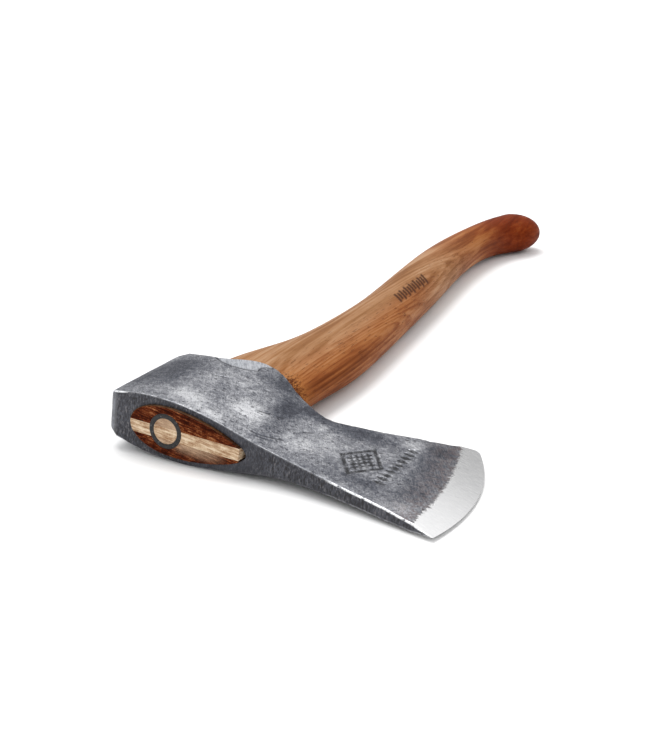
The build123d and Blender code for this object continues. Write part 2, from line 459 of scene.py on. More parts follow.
# === meshes ===
def make_piece(name, points, faces, node=None):
    """A mesh piece in the frame that stands for a CAD node."""
    mesh = bpy.data.meshes.new(name)
    places = laid_down(np.asarray(points, float))
    mesh.from_pydata(places.tolist(), [], [list(map(int, face)) for face in faces])
    mesh.validate()
    piece = bpy.data.objects.new(name, mesh)
    bpy.context.scene.collection.objects.link(piece)
    if node:
        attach(piece, "root")
        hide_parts(node)
    return piece


def store(mesh, name, values):
    """Keeps one value per vertex for a material to read."""
    kind = "FLOAT" if values.ndim == 1 else "FLOAT_VECTOR"
    attribute = mesh.attributes.new(name, kind, "POINT")
    attribute.data.foreach_set("value" if values.ndim == 1 else "vector",
                               values.astype(np.float32).ravel())


def stored(mesh, name):
    values = np.zeros(len(mesh.vertices))
    mesh.attributes[name].data.foreach_get("value", values)
    return values


def positions(mesh):
    co = np.zeros(len(mesh.vertices) * 3)
    mesh.vertices.foreach_get("co", co)
    return co.reshape(-1, 3)


def clean(mesh, distance):
    """Joins the seams, drops empty faces and turns every face outwards."""
    bm = bmesh.new()
    bm.from_mesh(mesh)
    bmesh.ops.remove_doubles(bm, verts=bm.verts, dist=distance)
    bmesh.ops.dissolve_degenerate(bm, edges=bm.edges, dist=distance / 4)
    bmesh.ops.recalc_face_normals(bm, faces=bm.faces)
    bm.to_mesh(mesh)
    bm.free()


def shade(mesh, angle):
    """Smooth shading with edges kept where faces meet more sharply than the angle."""
    mesh.polygons.foreach_set("use_smooth", [True] * len(mesh.polygons))
    mesh.set_sharp_from_angle(angle=math.radians(angle))


def noise_at(points, size, seed):
    """Smooth noise of about -1 to 1, with features of the given size in millimetres."""
    shift = Vector((seed * 17.3, seed * 5.1, seed * 9.7))
    return np.array([noise.noise(Vector(p) / size + shift) for p in points])


# === head: forging marks ===
def segment_distance(x, y, start, end):
    """Distance to a line drawn on the cheek."""
    run = np.array(end, float) - start
    share = np.clip(((x - start[0]) * run[0] + (y - start[1]) * run[1]) / (run @ run), 0, 1)
    return np.hypot(x - start[0] - share * run[0], y - start[1] - share * run[1])


def lozenge_mark(x, y, z):
    """A plain touchmark on the upper cheek: a hatched lozenge beside a row of small punches."""
    u, v = x - LOZENGE_AT[0], y - LOZENGE_AT[1]
    out = np.abs(u) / LOZENGE_HALF[0] + np.abs(v) / LOZENGE_HALF[1]
    border = smoothstep(0.78, 0.82, out) * (1 - smoothstep(1.0, 1.04, out))
    ruled = [np.abs((u + slant * v) % HATCH_PITCH - HATCH_PITCH / 2) for slant in (0.72, -0.72)]
    lines = np.minimum(*ruled)
    hatch = (1 - smoothstep(0.45, 0.80, lines)) * (1 - smoothstep(0.68, 0.74, out))
    step = (y - PUNCH_ROW[0]) % PUNCH_PITCH - PUNCH_PITCH / 2
    row = (y > PUNCH_ROW[0]) & (y < PUNCH_ROW[1])
    punch = (1 - smoothstep(1.25, 1.6, np.abs(x - PUNCH_X) * 0.55 + np.abs(step))) * row
    return np.maximum.reduce([border, hatch, punch]) * (z > 0)


FOLDS = [((31.0, 6.2), (35.0, 7.2)), ((35.0, 7.2), (41.5, 11.0)), ((33.5, 5.0), (37.0, 6.4)),
         ((26.0, 20.5), (29.5, 22.0)), ((0.5, 31.0), (4.5, 32.2)), ((44.0, 22.0), (46.5, 24.5))]


def forge_depth(points, from_rim, off_cheek):
    """How far hammer, scale and stamp sank the steel below the clean shape."""
    x, y, z = points.T
    ground = smoothstep(0.2, 2.0, past_bevel(points))
    cheek = (1 - off_cheek) * ground
    broad = 0.5 + 0.5 * noise_at(points, 12.0, 1)
    hammer = 0.5 + 0.5 * noise_at(points, 4.2, 2)
    grit = noise_at(points, 1.3, 3)
    pits = smoothstep(0.28, 0.5, grit) * smoothstep(-0.1, 0.3, noise_at(points, 8.0, 4))
    depth = cheek * (0.16 * broad + 0.09 * hammer + 0.10 * pits)
    depth += off_cheek * ground * (0.05 * broad + 0.04 * hammer + 0.03 * pits)
    depth += cheek * 0.22 * fold_lines(x, y)
    nicks = np.exp(-(from_rim / 0.7) ** 2) * ground
    depth += nicks * (0.10 * smoothstep(0.1, 0.5, noise_at(points, 2.1, 5)) + 0.05 * hammer)
    depth += 0.30 * cheek * lozenge_mark(x, y, z)
    facet = smoothstep(-0.1, 0.4, skirt_facet(x, y))
    return depth * (1 - 0.7 * cheek * facet) + 0.26 * cheek * facet


def fold_lines(x, y):
    """1 along the short creases where scale was hammered in."""
    nearest = np.min([segment_distance(x, y, start, end) for start, end in FOLDS], axis=0)
    return np.exp(-(nearest / 0.45) ** 2)


def skirt_facet(x, y):
    """Positive inside the facet filed at the tip of the skirt, with a bite out of its front."""
    facet = 9.5 - np.hypot((x - 0.8) * 0.78, y - 52.6)
    return np.minimum(facet, np.hypot(x - 14.0, y - 49.0) - 4.2)


# bright and dark zones of the worn scale, partly painted highlights and painted shade: x, y, reach
# along x, reach along y, strength
WEAR_AND_LIGHT_ZONES = [
    (-24.0, 16.0, 5.0, 14.0, -0.20), (-15.0, 22.0, 8.0, 11.0, -0.22), (-16.0, 36.0, 8.0, 8.0, -0.22),
    (2.5, 9.0, 7.0, 5.0, 0.30), (14.0, 3.5, 8.0, 3.5, 0.22), (24.0, 17.0, 7.0, 6.5, 0.38),
    (10.0, 36.0, 9.0, 8.0, 0.08), (22.0, 46.0, 7.0, 7.0, -0.26), (32.0, 30.0, 5.0, 11.0, -0.28),
    (34.0, 16.0, 3.5, 6.0, -0.10), (47.0, 29.0, 7.0, 5.0, 0.10), (46.0, 13.0, 7.0, 6.0, 0.20),
    (56.0, 20.0, 6.0, 8.0, 0.08), (41.0, 38.0, 7.0, 4.0, -0.22), (60.0, 38.0, 14.0, 6.0, -0.26),
    (79.0, 42.0, 5.0, 4.0, 0.16), (75.0, 4.0, 9.0, 4.5, -0.20), (91.0, 30.0, 6.0, 12.0, -0.18),
    (89.0, 45.0, 5.0, 6.0, -0.28), (92.0, 10.0, 6.0, 8.0, -0.16), (96.0, -4.0, 6.0, 4.0, 0.14),
]


def wear_and_light_tone(points):
    """How bright the scale is, from 0 to 1: partly wear, partly painted highlights and painted shade.
    """
    x, y = points[:, 0], points[:, 1]
    wear_and_light = np.full(len(points), 0.46)
    for zone_x, zone_y, reach_x, reach_y, strength in WEAR_AND_LIGHT_ZONES:
        wear_and_light += strength * np.exp(-((x - zone_x) / reach_x) ** 2 - ((y - zone_y) / reach_y) ** 2)
    return np.clip(wear_and_light, 0, 1)


def build_head():
    points, quads, from_rim, off_cheek = head_points()
    head = make_piece("forged_head", points, quads, "axe_head")
    mesh = head.data
    store(mesh, "rim", from_rim)
    store(mesh, "face", off_cheek)
    clean(mesh, 2e-6)
    base = stood_up(positions(mesh))
    from_rim, off_cheek = stored(mesh, "rim"), stored(mesh, "face")
    normals = np.zeros(len(base) * 3)
    mesh.vertex_normals.foreach_get("vector", normals)
    depth = forge_depth(base, from_rim, off_cheek)
    moved = positions(mesh) - normals.reshape(-1, 3) * depth[:, None] / 1000
    mesh.vertices.foreach_set("co", moved.ravel())
    store(mesh, "mm", base)
    store(mesh, "bevel", past_bevel(base))
    # painted highlights and painted shade on the cheeks, stored together with the wear
    store(mesh, "wear_and_light", wear_and_light_tone(base))
    store(mesh, "fold", fold_lines(base[:, 0], base[:, 1]) * (1 - off_cheek))
    store(mesh, "stamp", lozenge_mark(*base.T) * (1 - off_cheek))
    store(mesh, "lug", np.clip(skirt_facet(base[:, 0], base[:, 1]), -3, 3))
    mesh.update()
    shade(mesh, 42)
    return head


# === handle and wedges ===
def handle_rings(foot_y):
    """Closed rings of points down the handle, the first one drawn in for the worn corner."""
    turn = np.linspace(0, 2 * math.pi, HANDLE_POINTS, endpoint=False)
    rows = [(-WOOD_PROUD, 0.0, 0.985), (-WOOD_PROUD + 0.12, 0.0, 0.994), (-WOOD_PROUD + 0.35, 0.0, 1.0)]
    last = min(foot_y, SECTIONS[-1, 0])
    rows += [(y, 0.0, 1.0) for y in np.arange(0.0, last, HANDLE_ROW)] + [(last, 0.0, 1.0)]
    if foot_y > last:
        shares = np.sin(np.linspace(0, math.pi / 2, 40))[1:]
        rows += [(last, share, math.sqrt(max(1 - share ** 2, 1e-6))) for share in shares]
    rings = []
    for y, share, size in rows:
        middle, length, thickness, lean, narrow = eye_section(np.float64(y))
        lean = math.radians(lean)
        reach = length * size * np.cos(turn)
        across = thickness * size * np.sin(turn) * (1 - narrow * np.cos(turn))
        x = middle + KNOB_LENGTH * share * math.sin(lean) + reach * math.cos(lean)
        down = y + KNOB_LENGTH * share * math.cos(lean) - reach * math.sin(lean)
        rings.append(np.stack([x, down, across], -1))
    return np.array(rings)


def tube(name, rings, node=None):
    """A closed skin over a stack of rings."""
    count, around = rings.shape[:2]
    faces = net_faces(count, around, round_rows=True).tolist()
    faces += [range(around), range((count - 1) * around, count * around)]
    piece = make_piece(name, rings.reshape(-1, 3), faces, node)
    clean(piece.data, 1e-7)
    return piece


def prism(name, outline, direction):
    """A cutter: a flat outline pushed along a direction."""
    outline = np.array(outline, float)
    return tube(name, np.array([outline, outline + direction]))


def wedge_slab(name, thinner):
    """The tapered slab of the saw kerf, set slightly across the blade."""
    top = -10.0
    taper = (WEDGE_TOP - WEDGE_FOOT) / 2 / (WEDGE_DEPTH + WOOD_PROUD)
    half_foot = WEDGE_FOOT / 2 - thinner
    half_top = half_foot + taper * (WEDGE_DEPTH - top)
    skew = math.radians(WEDGE_SKEW)
    along_kerf = np.array([math.cos(skew), 0, math.sin(skew)])
    across_kerf = np.array([-math.sin(skew), 0, math.cos(skew)])
    reach = 60.0
    middle = np.array([SECTIONS[0, 1], 0, WEDGE_OFFSET]) - reach * along_kerf
    corners = ((top, half_top), (WEDGE_DEPTH, half_foot), (WEDGE_DEPTH, -half_foot), (top, -half_top))
    outline = [middle + np.array([0, y, 0]) + half * across_kerf for y, half in corners]
    return prism(name, outline, 2 * reach * along_kerf)


def front_gap():
    """What is shaved off the front of the tongue."""
    outline = [(FRONT_GAP_X, -10), (FRONT_GAP_X, 0), (FRONT_GAP_X + 4, FRONT_GAP_DEPTH),
               (FRONT_GAP_X + 20, FRONT_GAP_DEPTH), (FRONT_GAP_X + 20, -10)]
    return prism("front_gap", [(x, y, -30) for x, y in outline], (0, 0, 60))


def lathe(name, profile, node=None):
    """A profile of radius and depth turned round the ring's axis."""
    rings = []
    for turn in np.linspace(0, 2 * math.pi, RING_POINTS, endpoint=False):
        rings.append([(r * math.cos(turn), y, r * math.sin(turn)) for r, y in profile])
    faces = net_faces(RING_POINTS, len(profile), round_columns=True, round_rows=True)
    piece = make_piece(name, np.array(rings).reshape(-1, 3), faces, node)
    clean(piece.data, 1e-7)
    return piece


def ring_profile(seam):
    """Section of the ring wedge: rounded upper rims, sharpened from inside below."""
    top = -WOOD_PROUD - RING_PROUD
    outer, bore, soft = RING_RADIUS + seam, RING_BORE - seam, 0.7
    bend = np.linspace(0, math.pi / 2, 6)
    profile = [(outer - soft + soft * math.sin(a), top + soft - soft * math.cos(a)) for a in bend]
    profile += [(outer, RING_DEPTH), (RING_LIP, RING_DEPTH), (bore, RING_DEPTH * 0.4)]
    profile += [(bore + soft - soft * math.cos(a), top + soft - soft * math.sin(a)) for a in bend]
    return profile


def cut(piece, cutter, operation):
    """Applies one exact cut to a piece and gives its mesh back to it."""
    modifier = piece.modifiers.new("cut", "BOOLEAN")
    modifier.operation = operation
    modifier.solver = "EXACT"
    modifier.object = cutter
    bpy.context.view_layer.update()
    result = bpy.data.meshes.new_from_object(piece.evaluated_get(bpy.context.evaluated_depsgraph_get()))
    piece.modifiers.clear()
    piece.data = result


def burnt_mark(x, y, z):
    """A plain burnt mark on the upper side: a row of slanted bars, long and short by turns."""
    across = x - BARS_AT[0] + 0.06 * (y - 192.0)
    slanted = y - BARS_AT[1] + 0.5 * across
    step = slanted % BAR_PITCH - BAR_PITCH / 2
    height = np.where(np.floor(slanted / BAR_PITCH) % 2 == 0, 2.9, 1.9)
    bar = 1 - smoothstep(0.95, 1.35, np.abs(step))
    ends = 1 - smoothstep(height - 0.3, height + 0.1, np.abs(across))
    return bar * ends * (slanted > 0) * (slanted < BARS_LENGTH) * (z > 0)


def store_wood(mesh):
    """What the wood's materials read."""
    at = stood_up(positions(mesh))
    store(mesh, "mm", at)
    store(mesh, "burn", burnt_mark(*at.T))
    middle = np.interp(at[:, 1], SECTIONS[:, 0], SECTIONS[:, 1])
    length = np.interp(at[:, 1], SECTIONS[:, 0], SECTIONS[:, 2])
    store(mesh, "front", np.clip((at[:, 0] - middle) / length, -1, 1))
    store(mesh, "collar", at[:, 1] - np.interp(at[:, 0], FOOT_LINE[:, 0], FOOT_LINE[:, 1]))


def build_handle(kerf, gap, ring_hole):
    handle = tube("hickory_handle", handle_rings(math.inf), "handle")
    for cutter in (gap, kerf, ring_hole):
        cut(handle, cutter, "DIFFERENCE")
    shade(handle.data, 35)
    store_wood(handle.data)
    return handle


def build_wedge(slab, gap, ring_hole):
    wedge = tube("split_wedge", handle_rings(60.0), "wooden_wedge")
    cut(wedge, gap, "DIFFERENCE")
    cut(wedge, slab, "INTERSECT")
    cut(wedge, ring_hole, "DIFFERENCE")
    shade(wedge.data, 35)
    store_wood(wedge.data)
    return wedge


def build_ring():
    ring = lathe("steel_ring", ring_profile(0.0), "ring_wedge")
    shade(ring.data, 40)
    store(ring.data, "mm", stood_up(positions(ring.data)))
    return ring


# === material tools ===
def set_stops(elements, stops):
    """Gives a colour ramp its stops."""
    while len(elements) < len(stops):
        elements.new(0.5)
    for element, (place, colour) in zip(elements, stops):
        element.position = place
        element.color = (*colour, 1)


class Paint:
    """Short calls for building one procedural material."""

    def __init__(self, name):
        self.material = bpy.data.materials.new(name)
        self.material.use_nodes = True
        self.nodes = self.material.node_tree.nodes
        self.links = self.material.node_tree.links
        self.shader = self.nodes["Principled BSDF"]

    def add(self, kind, inputs=None, **settings):
        node = self.nodes.new(kind)
        for key, value in settings.items():
            setattr(node, key, value)
        for key, value in (inputs or {}).items():
            self.put(node.inputs[key], value)
        return node

    def put(self, socket, value):
        if isinstance(value, bpy.types.NodeSocket):
            self.links.new(value, socket)
        else:
            socket.default_value = value

    def attribute(self, name, vector=False):
        node = self.add("ShaderNodeAttribute", attribute_name=name)
        return node.outputs["Vector" if vector else "Fac"]

    def math(self, operation, a, b=0.0):
        return self.add("ShaderNodeMath", {0: a, 1: b}, operation=operation).outputs[0]

    def split(self, vector):
        """The x, y and z of a vector."""
        return self.add("ShaderNodeSeparateXYZ", {0: vector}).outputs[:]

    def times(self, value, *others):
        for other in others:
            value = self.math("MULTIPLY", value, other)
        return value

    def minus(self, a, b):
        return self.math("SUBTRACT", a, b)

    def total(self, value, *parts):
        """The value with each part times its weight added."""
        for part, weight in parts:
            value = self.math("ADD", value, self.times(part, weight))
        return value

    def stretched(self, vector, scale, rotation=(0, 0, 0)):
        turned = self.add("ShaderNodeMapping", {"Vector": vector, "Rotation": rotation})
        return self.add("ShaderNodeMapping", {"Vector": turned.outputs[0], "Scale": scale}).outputs[0]

    def noise(self, vector, scale, detail=3.0, roughness=0.5, distortion=0.0):
        node = self.add("ShaderNodeTexNoise", {"Vector": vector, "Scale": scale, "Detail": detail,
                                               "Roughness": roughness, "Distortion": distortion})
        return node.outputs[0]

    def between(self, value, low, high, start=0.0, end=1.0):
        """A smooth rise from start to end as the value goes from low to high."""
        node = self.add("ShaderNodeMapRange", {0: value, 1: low, 2: high, 3: start, 4: end},
                        interpolation_type="SMOOTHSTEP")
        return node.outputs[0]

    def ramp(self, value, stops):
        node = self.add("ShaderNodeValToRGB", {"Fac": value})
        set_stops(node.color_ramp.elements, stops)
        return node.outputs["Color"]

    def mix(self, share, a, b):
        a, b = ((*value, 1) if isinstance(value, tuple) else value for value in (a, b))
        return self.add("ShaderNodeMix", {0: share, 6: a, 7: b}, data_type="RGBA").outputs[2]

    def blend(self, share, a, b):
        return self.add("ShaderNodeMix", {0: share, 2: a, 3: b}, data_type="FLOAT").outputs[0]

    def bump(self, height, depth_mm, strength=1.0):
        node = self.add("ShaderNodeBump", {"Height": height, "Distance": depth_mm / 1000,
                                           "Strength": strength})
        self.put(self.shader.inputs["Normal"], node.outputs[0])

    def finish(self, colour, roughness, metallic=0.0, specular=0.5):
        wanted = {"Base Color": colour, "Roughness": roughness, "Metallic": metallic,
                  "Specular IOR Level": specular}
        for key, value in wanted.items():
            self.put(self.shader.inputs[key], value)
        return self.material


# === materials ===
def cheek_scale(p, worn, mm, clouds, mottle, strokes):
    """Scale on the cheeks, worn bright and carrying painted highlights and painted shade: browned by
    the bevel, pitted and creased.
    """
    bevel, lug = p.attribute("bevel"), p.attribute("lug")
    colour = p.ramp(worn, [(0.0, (0.034, 0.036, 0.048)), (0.25, (0.090, 0.095, 0.113)),
                           (0.50, (0.190, 0.194, 0.213)), (0.75, (0.350, 0.355, 0.376)),
                           (1.0, (0.620, 0.625, 0.645))])
    filed = p.between(lug, 0.1, 1.2)
    sheen = p.times(filed, p.between(strokes, 0.40, 0.58, 0.25, 0.75))
    colour = p.mix(sheen, colour, (0.50, 0.515, 0.55))
    rust = p.times(p.between(bevel, 15.0, 1.0), p.between(mottle, 0.44, 0.56))
    colour = p.mix(p.times(rust, 0.7), colour, (0.085, 0.056, 0.055))
    honed = p.times(p.between(bevel, 17.0, 4.0), p.between(strokes, 0.51, 0.60))
    colour = p.mix(p.times(honed, 0.28), colour, (0.300, 0.290, 0.295))
    coarse = p.between(p.noise(p.stretched(mm, (0.7, 1.3, 1.0)), 0.8, 3, 0.65, 0.5), 0.585, 0.64)
    fine = p.between(p.noise(mm, 2.1, 3, 0.6, 0.4), 0.60, 0.68)
    pits = p.math("MAXIMUM", coarse, p.times(fine, p.between(clouds, 0.42, 0.55)))
    pits = p.times(pits, p.minus(1.0, filed))
    colour = p.mix(p.times(pits, 0.8), colour, (0.026, 0.027, 0.036))
    facet_line = p.times(p.between(lug, -0.55, -0.10), p.between(lug, 0.45, 0.05))
    creases = p.times(p.math("MAXIMUM", facet_line, p.attribute("fold")), 0.92)
    return p.mix(creases, colour, (0.030, 0.032, 0.040)), pits


def face_scale(p, battered, mm, smooth, mottle, speckle, strokes):
    """Charcoal scale on the top face and underside, scratched, and struck on the poll."""
    scratches = p.noise(p.stretched(mm, (0.12, 5.0, 1.0), (0, 0, math.radians(-24))), 0.9, 3, 0.6)
    colour = p.mix(smooth, (0.027, 0.028, 0.037), (0.062, 0.064, 0.078))
    marks = p.times(p.between(scratches, 0.58, 0.72), 0.40)
    colour = p.mix(marks, colour, (0.20, 0.21, 0.23))
    toe_end = p.between(p.attribute("bevel"), 74.0, 52.0)
    blotches = p.times(toe_end, p.between(strokes, 0.50, 0.58, 0.0, 0.9))
    colour = p.mix(blotches, colour, (0.010, 0.008, 0.008))
    rubbed = p.times(toe_end, p.between(strokes, 0.44, 0.38, 0.0, 0.7))
    colour = p.mix(rubbed, colour, (0.160, 0.150, 0.150))
    poll = p.times(p.between(battered, -21.9, -22.5), p.between(speckle, 0.30, 0.52, 0.5, 1.0))
    struck = p.mix(p.between(mottle, 0.38, 0.62), (0.065, 0.068, 0.080), (0.180, 0.187, 0.212))
    return p.mix(poll, colour, struck)


def rim_glint(p, mm, y, z):
    """Where the rims carry a painted highlight, partly rubbed-bright wear: mostly the upper rim of the
    blade's top.
    """
    chips = p.between(p.noise(mm, 0.6, 4, 0.6), 0.34, 0.50)
    near_rim = p.between(p.attribute("rim"), 0.35, 0.0)
    toeward = p.between(p.attribute("bevel"), 35.0, 31.0, 0.10, 1.0)
    upper = p.times(p.between(z, -1.0, 1.0, 0.25, 1.0), p.between(y, 14.0, 6.0, 0.12, 1.0))
    return p.times(near_rim, chips, toeward, upper)


def forged_steel():
    """Brushed scale on the cheeks with painted highlights and painted shade, charcoal scale on the
    faces, a painted highlight on the rims, a polished bevel.
    """
    p = Paint("forged_steel")
    mm = p.attribute("mm", vector=True)
    x, y, z = p.split(mm)
    clouds = p.noise(mm, 0.12, 3, 0.55, 0.4)
    mottle = p.noise(mm, 0.45, 7, 0.68, 0.3)
    speckle = p.noise(mm, 1.7, 4, 0.75)
    strokes = p.noise(p.stretched(mm, (0.5, 3.6, 1.0), (0, 0, math.radians(58))), 0.55, 6, 0.7, 0.2)

    # value, and the worn ramp from it, carry painted highlights and painted shade besides wear
    value = p.total(p.attribute("wear_and_light"), (clouds, 0.30), (mottle, 0.74), (speckle, 0.72),
                    (strokes, 0.44))
    worn = p.between(value, 1.14, 1.96)
    cheek, pits = cheek_scale(p, worn, mm, clouds, mottle, strokes)
    battered = p.total(x, (mottle, 2.4))
    cheek = p.mix(p.between(battered, -23.4, -24.4, 0.0, 0.7), cheek, (0.40, 0.41, 0.44))
    smooth = p.between(p.total(p.times(mottle, 0.5), (clouds, 0.5)), 0.40, 0.62)
    charcoal = face_scale(p, battered, mm, smooth, mottle, speckle, strokes)
    off = p.between(p.attribute("face"), 0.25, 0.75)
    glint = rim_glint(p, mm, y, z)
    # painted highlight: the rims turn near-white and fully metallic
    colour = p.mix(glint, p.mix(off, cheek, charcoal), (0.80, 0.81, 0.83))

    saw = p.noise(p.stretched(mm, (0.40, 1.5, 1.0)), 0.9, 5, 0.8)
    ragged = p.total(p.attribute("bevel"), (p.minus(saw, 0.53), 9.0))
    ground = p.times(p.between(ragged, 0.15, -0.15), p.minus(1.0, off))
    hone = p.noise(p.stretched(mm, (0.25, 6.0, 1.0), (0, 0, math.radians(8))), 1.2, 3, 0.6)
    polish = p.mix(p.between(hone, 0.3, 0.7), (0.62, 0.62, 0.63), (0.72, 0.72, 0.72))
    colour = p.mix(ground, colour, polish)
    pressed = p.times(p.attribute("stamp"), p.between(mottle, 0.60, 0.44, 0.60, 1.0))
    colour = p.mix(pressed, colour, (0.008, 0.008, 0.010))

    rough = p.blend(worn, 0.52, 0.34)
    rough = p.blend(off, rough, p.between(mottle, 0.3, 0.7, 0.36, 0.52))
    rough = p.blend(ground, rough, p.between(hone, 0.3, 0.7, 0.20, 0.28))
    rough = p.blend(pressed, rough, 0.7)
    metal = p.blend(off, 0.92, 0.45)
    metal = p.blend(p.math("MAXIMUM", ground, glint), metal, 1.0)
    metal = p.blend(pressed, metal, 0.2)

    grain = p.total(p.times(mottle, 0.8), (speckle, 0.35), (pits, -0.6), (strokes, 0.35))
    grain = p.blend(off, grain, p.times(mottle, 0.35))
    grain = p.blend(ground, grain, p.times(hone, 0.03))
    p.bump(grain, 0.22, 0.85)
    return p.finish(colour, rough, metal)


def hickory_grain(p, mm, y):
    """Long streaks, fine fibres and faint growth rings: how light the wood is, and both grains."""
    warp = p.noise(p.stretched(mm, (1.0, 0.16, 1.0)), 0.05, 2, 0.5)
    sway = p.add("ShaderNodeCombineXYZ", {0: warp, 2: warp}).outputs[0]
    grain_at = p.add("ShaderNodeVectorMath", {0: sway, 1: (6.0, 0.0, 6.0), 2: mm},
                     operation="MULTIPLY_ADD").outputs[0]
    figure = p.noise(p.stretched(grain_at, (1.0, 0.045, 1.0)), 0.060, 1.5, 0.4)
    year = p.math("FRACT", p.times(figure, 12.0))
    rings = p.times(p.between(year, 0.0, 0.75), p.between(year, 1.0, 0.86),
                    p.between(y, 285.0, 345.0, 1.0, 0.25))
    streaks = p.noise(p.stretched(grain_at, (1.0, 0.020, 1.0)), 0.30, 5, 0.62)
    fibres = p.noise(p.stretched(grain_at, (1.0, 0.030, 1.0)), 1.0, 5, 0.75)
    clouds = p.noise(p.stretched(mm, (1.0, 0.4, 1.0)), 0.050, 3, 0.5)
    value = p.total(p.times(streaks, 0.90), (rings, 0.15), (fibres, 0.50), (clouds, 0.55))
    return p.between(value, 0.70, 1.44), streaks, fibres


def aged_wood_and_front_shade(p, light, front, y):
    """Gold wood that turns red and darker towards the front, partly painted shade on the side turned
    from the light, and red towards the knob; darkest on the knob.
    """
    gold = p.ramp(light, [(0.0, (0.170, 0.066, 0.023)), (0.35, (0.255, 0.119, 0.048)),
                          (0.65, (0.320, 0.168, 0.082)), (1.0, (0.400, 0.242, 0.138))])
    red = p.ramp(light, [(0.0, (0.092, 0.017, 0.002)), (0.4, (0.205, 0.052, 0.011)),
                         (0.7, (0.285, 0.096, 0.024)), (1.0, (0.365, 0.155, 0.055))])
    dark = p.ramp(light, [(0.0, (0.080, 0.009, 0.001)), (0.5, (0.160, 0.024, 0.004)),
                          (1.0, (0.230, 0.052, 0.011))])
    # painted shade: the front side goes redder and darker, partly the wood's own colour
    aged_and_shaded_front = p.times(p.between(front, 0.05, 0.75), p.between(y, 160.0, 240.0, 1.0, 0.25), 0.85)
    knobward = p.between(y, 212.0, 315.0)
    colour = p.mix(p.math("MAXIMUM", aged_and_shaded_front, knobward), gold, red)
    return p.mix(p.between(y, 296.0, 345.0), colour, dark)


def singed_shoulder_and_joint_shade(p, colour, shoulder, crinkle):
    """Ambers and singes the wood below the skirt, and paints shade as a dark line against the steel."""
    amber = p.times(shoulder, p.between(crinkle, 0.40, 0.62, 0.25, 0.80))
    colour = p.mix(amber, colour, (0.40, 0.160, 0.042))
    singed = p.minus(p.times(shoulder, 0.36), p.minus(crinkle, 0.30))
    colour = p.mix(p.between(singed, 0.0, 0.16, 0.0, 0.9), colour, (0.055, 0.011, 0.002))
    # painted shade: a dark line on the wood right under the steel's underside
    return p.mix(p.between(p.attribute("collar"), 1.1, 0.1, 0.0, 0.8), colour, (0.020, 0.010, 0.006))


def oiled_hickory():
    """Straight-grained hickory, oiled, with short pores, a burnt mark, a singed shoulder, painted shade
    on the front side and a painted shade line against the steel.
    """
    p = Paint("oiled_hickory")
    mm = p.attribute("mm", vector=True)
    front, burn = p.attribute("front"), p.attribute("burn")
    y = p.split(mm)[1]
    light, streaks, fibres = hickory_grain(p, mm, y)
    pores = p.between(p.noise(p.stretched(mm, (1.0, 0.085, 1.0)), 2.2, 2, 0.5), 0.60, 0.70)
    crinkle = p.noise(p.stretched(mm, (1.0, 0.40, 1.0)), 1.3, 5, 0.75, 0.6)
    shoulder = p.times(p.between(front, 0.10, 0.70), p.between(p.attribute("collar"), 17.0, 1.0))

    colour = aged_wood_and_front_shade(p, light, front, y)
    porous = p.times(pores, p.between(front, -0.3, 0.5, 0.20, 0.70))
    colour = p.mix(porous, colour, (0.085, 0.024, 0.007))
    colour = singed_shoulder_and_joint_shade(p, colour, shoulder, crinkle)
    colour = p.mix(p.times(burn, 0.93), colour, (0.050, 0.018, 0.008))
    height = p.total(p.times(fibres, 0.5), (streaks, 0.4), (pores, -0.7),
                     (p.times(shoulder, crinkle), 2.0), (burn, -1.0))
    p.bump(height, 0.07, 0.7)
    return p.finish(colour, p.between(light, 0.0, 1.0, 0.50, 0.40), specular=0.03)


def end_grain():
    """The sawn top of the tongue: dark, open pored, crossed by fine saw marks."""
    p = Paint("hickory_end_grain")
    mm = p.attribute("mm", vector=True)
    saw = p.noise(p.stretched(mm, (0.15, 1.0, 1.6), (0, math.radians(-5), 0)), 1.3, 4, 0.75)
    pores = p.noise(p.stretched(mm, (1.0, 0.2, 1.8)), 2.0, 3, 0.7)
    patches = p.noise(mm, 0.16, 3, 0.5)
    value = p.total(p.times(saw, 1.2), (pores, 0.6), (patches, 0.5))
    colour = p.ramp(p.between(value, 0.97, 1.42), [
        (0.0, (0.020, 0.003, 0.001)), (0.40, (0.085, 0.014, 0.004)),
        (0.70, (0.165, 0.042, 0.012)), (1.0, (0.350, 0.150, 0.064))])
    x, _, z = p.split(mm)
    off_axis = p.math("POWER", p.total(p.times(x, x), (z, z)), 0.5)
    pale = p.ramp(p.between(value, 0.8, 1.4), [(0.0, (0.260, 0.140, 0.075)),
                                               (1.0, (0.600, 0.440, 0.300))])
    colour = p.mix(p.between(off_axis, 5.2, 4.8, 0.0, 0.85), colour, pale)
    smear = p.times(p.between(z, -8.0, -2.4), p.between(z, 0.5, -1.0),
                    p.between(x, 2.0, 8.0), p.between(x, 28.0, 14.0))
    colour = p.mix(p.times(smear, 0.8), colour, pale)
    p.bump(value, 0.16, 0.9)
    return p.finish(colour, p.between(pores, 0.2, 0.8, 0.6, 0.8), specular=0.03)


def wedge_wood():
    """Pale split wood, darkened in streaks along the kerf."""
    p = Paint("wedge_wood")
    mm = p.attribute("mm", vector=True)
    along_kerf = p.stretched(mm, (0.10, 0.25, 1.0), (0, math.radians(-WEDGE_SKEW), 0))
    streaks = p.noise(along_kerf, 1.5, 5, 0.65)
    pores = p.noise(p.stretched(mm, (0.6, 0.3, 1.0)), 3.0, 4, 0.7)
    patches = p.noise(mm, 0.35, 3, 0.6)
    value = p.total(streaks, (patches, 0.45), (pores, 0.35))
    colour = p.ramp(p.between(value, 0.62, 1.15), [
        (0.0, (0.210, 0.095, 0.040)), (0.35, (0.400, 0.250, 0.145)),
        (0.70, (0.600, 0.450, 0.300)), (1.0, (0.740, 0.610, 0.450))])
    p.bump(value, 0.08, 0.8)
    return p.finish(colour, p.between(pores, 0.2, 0.8, 0.5, 0.65), specular=0.12)


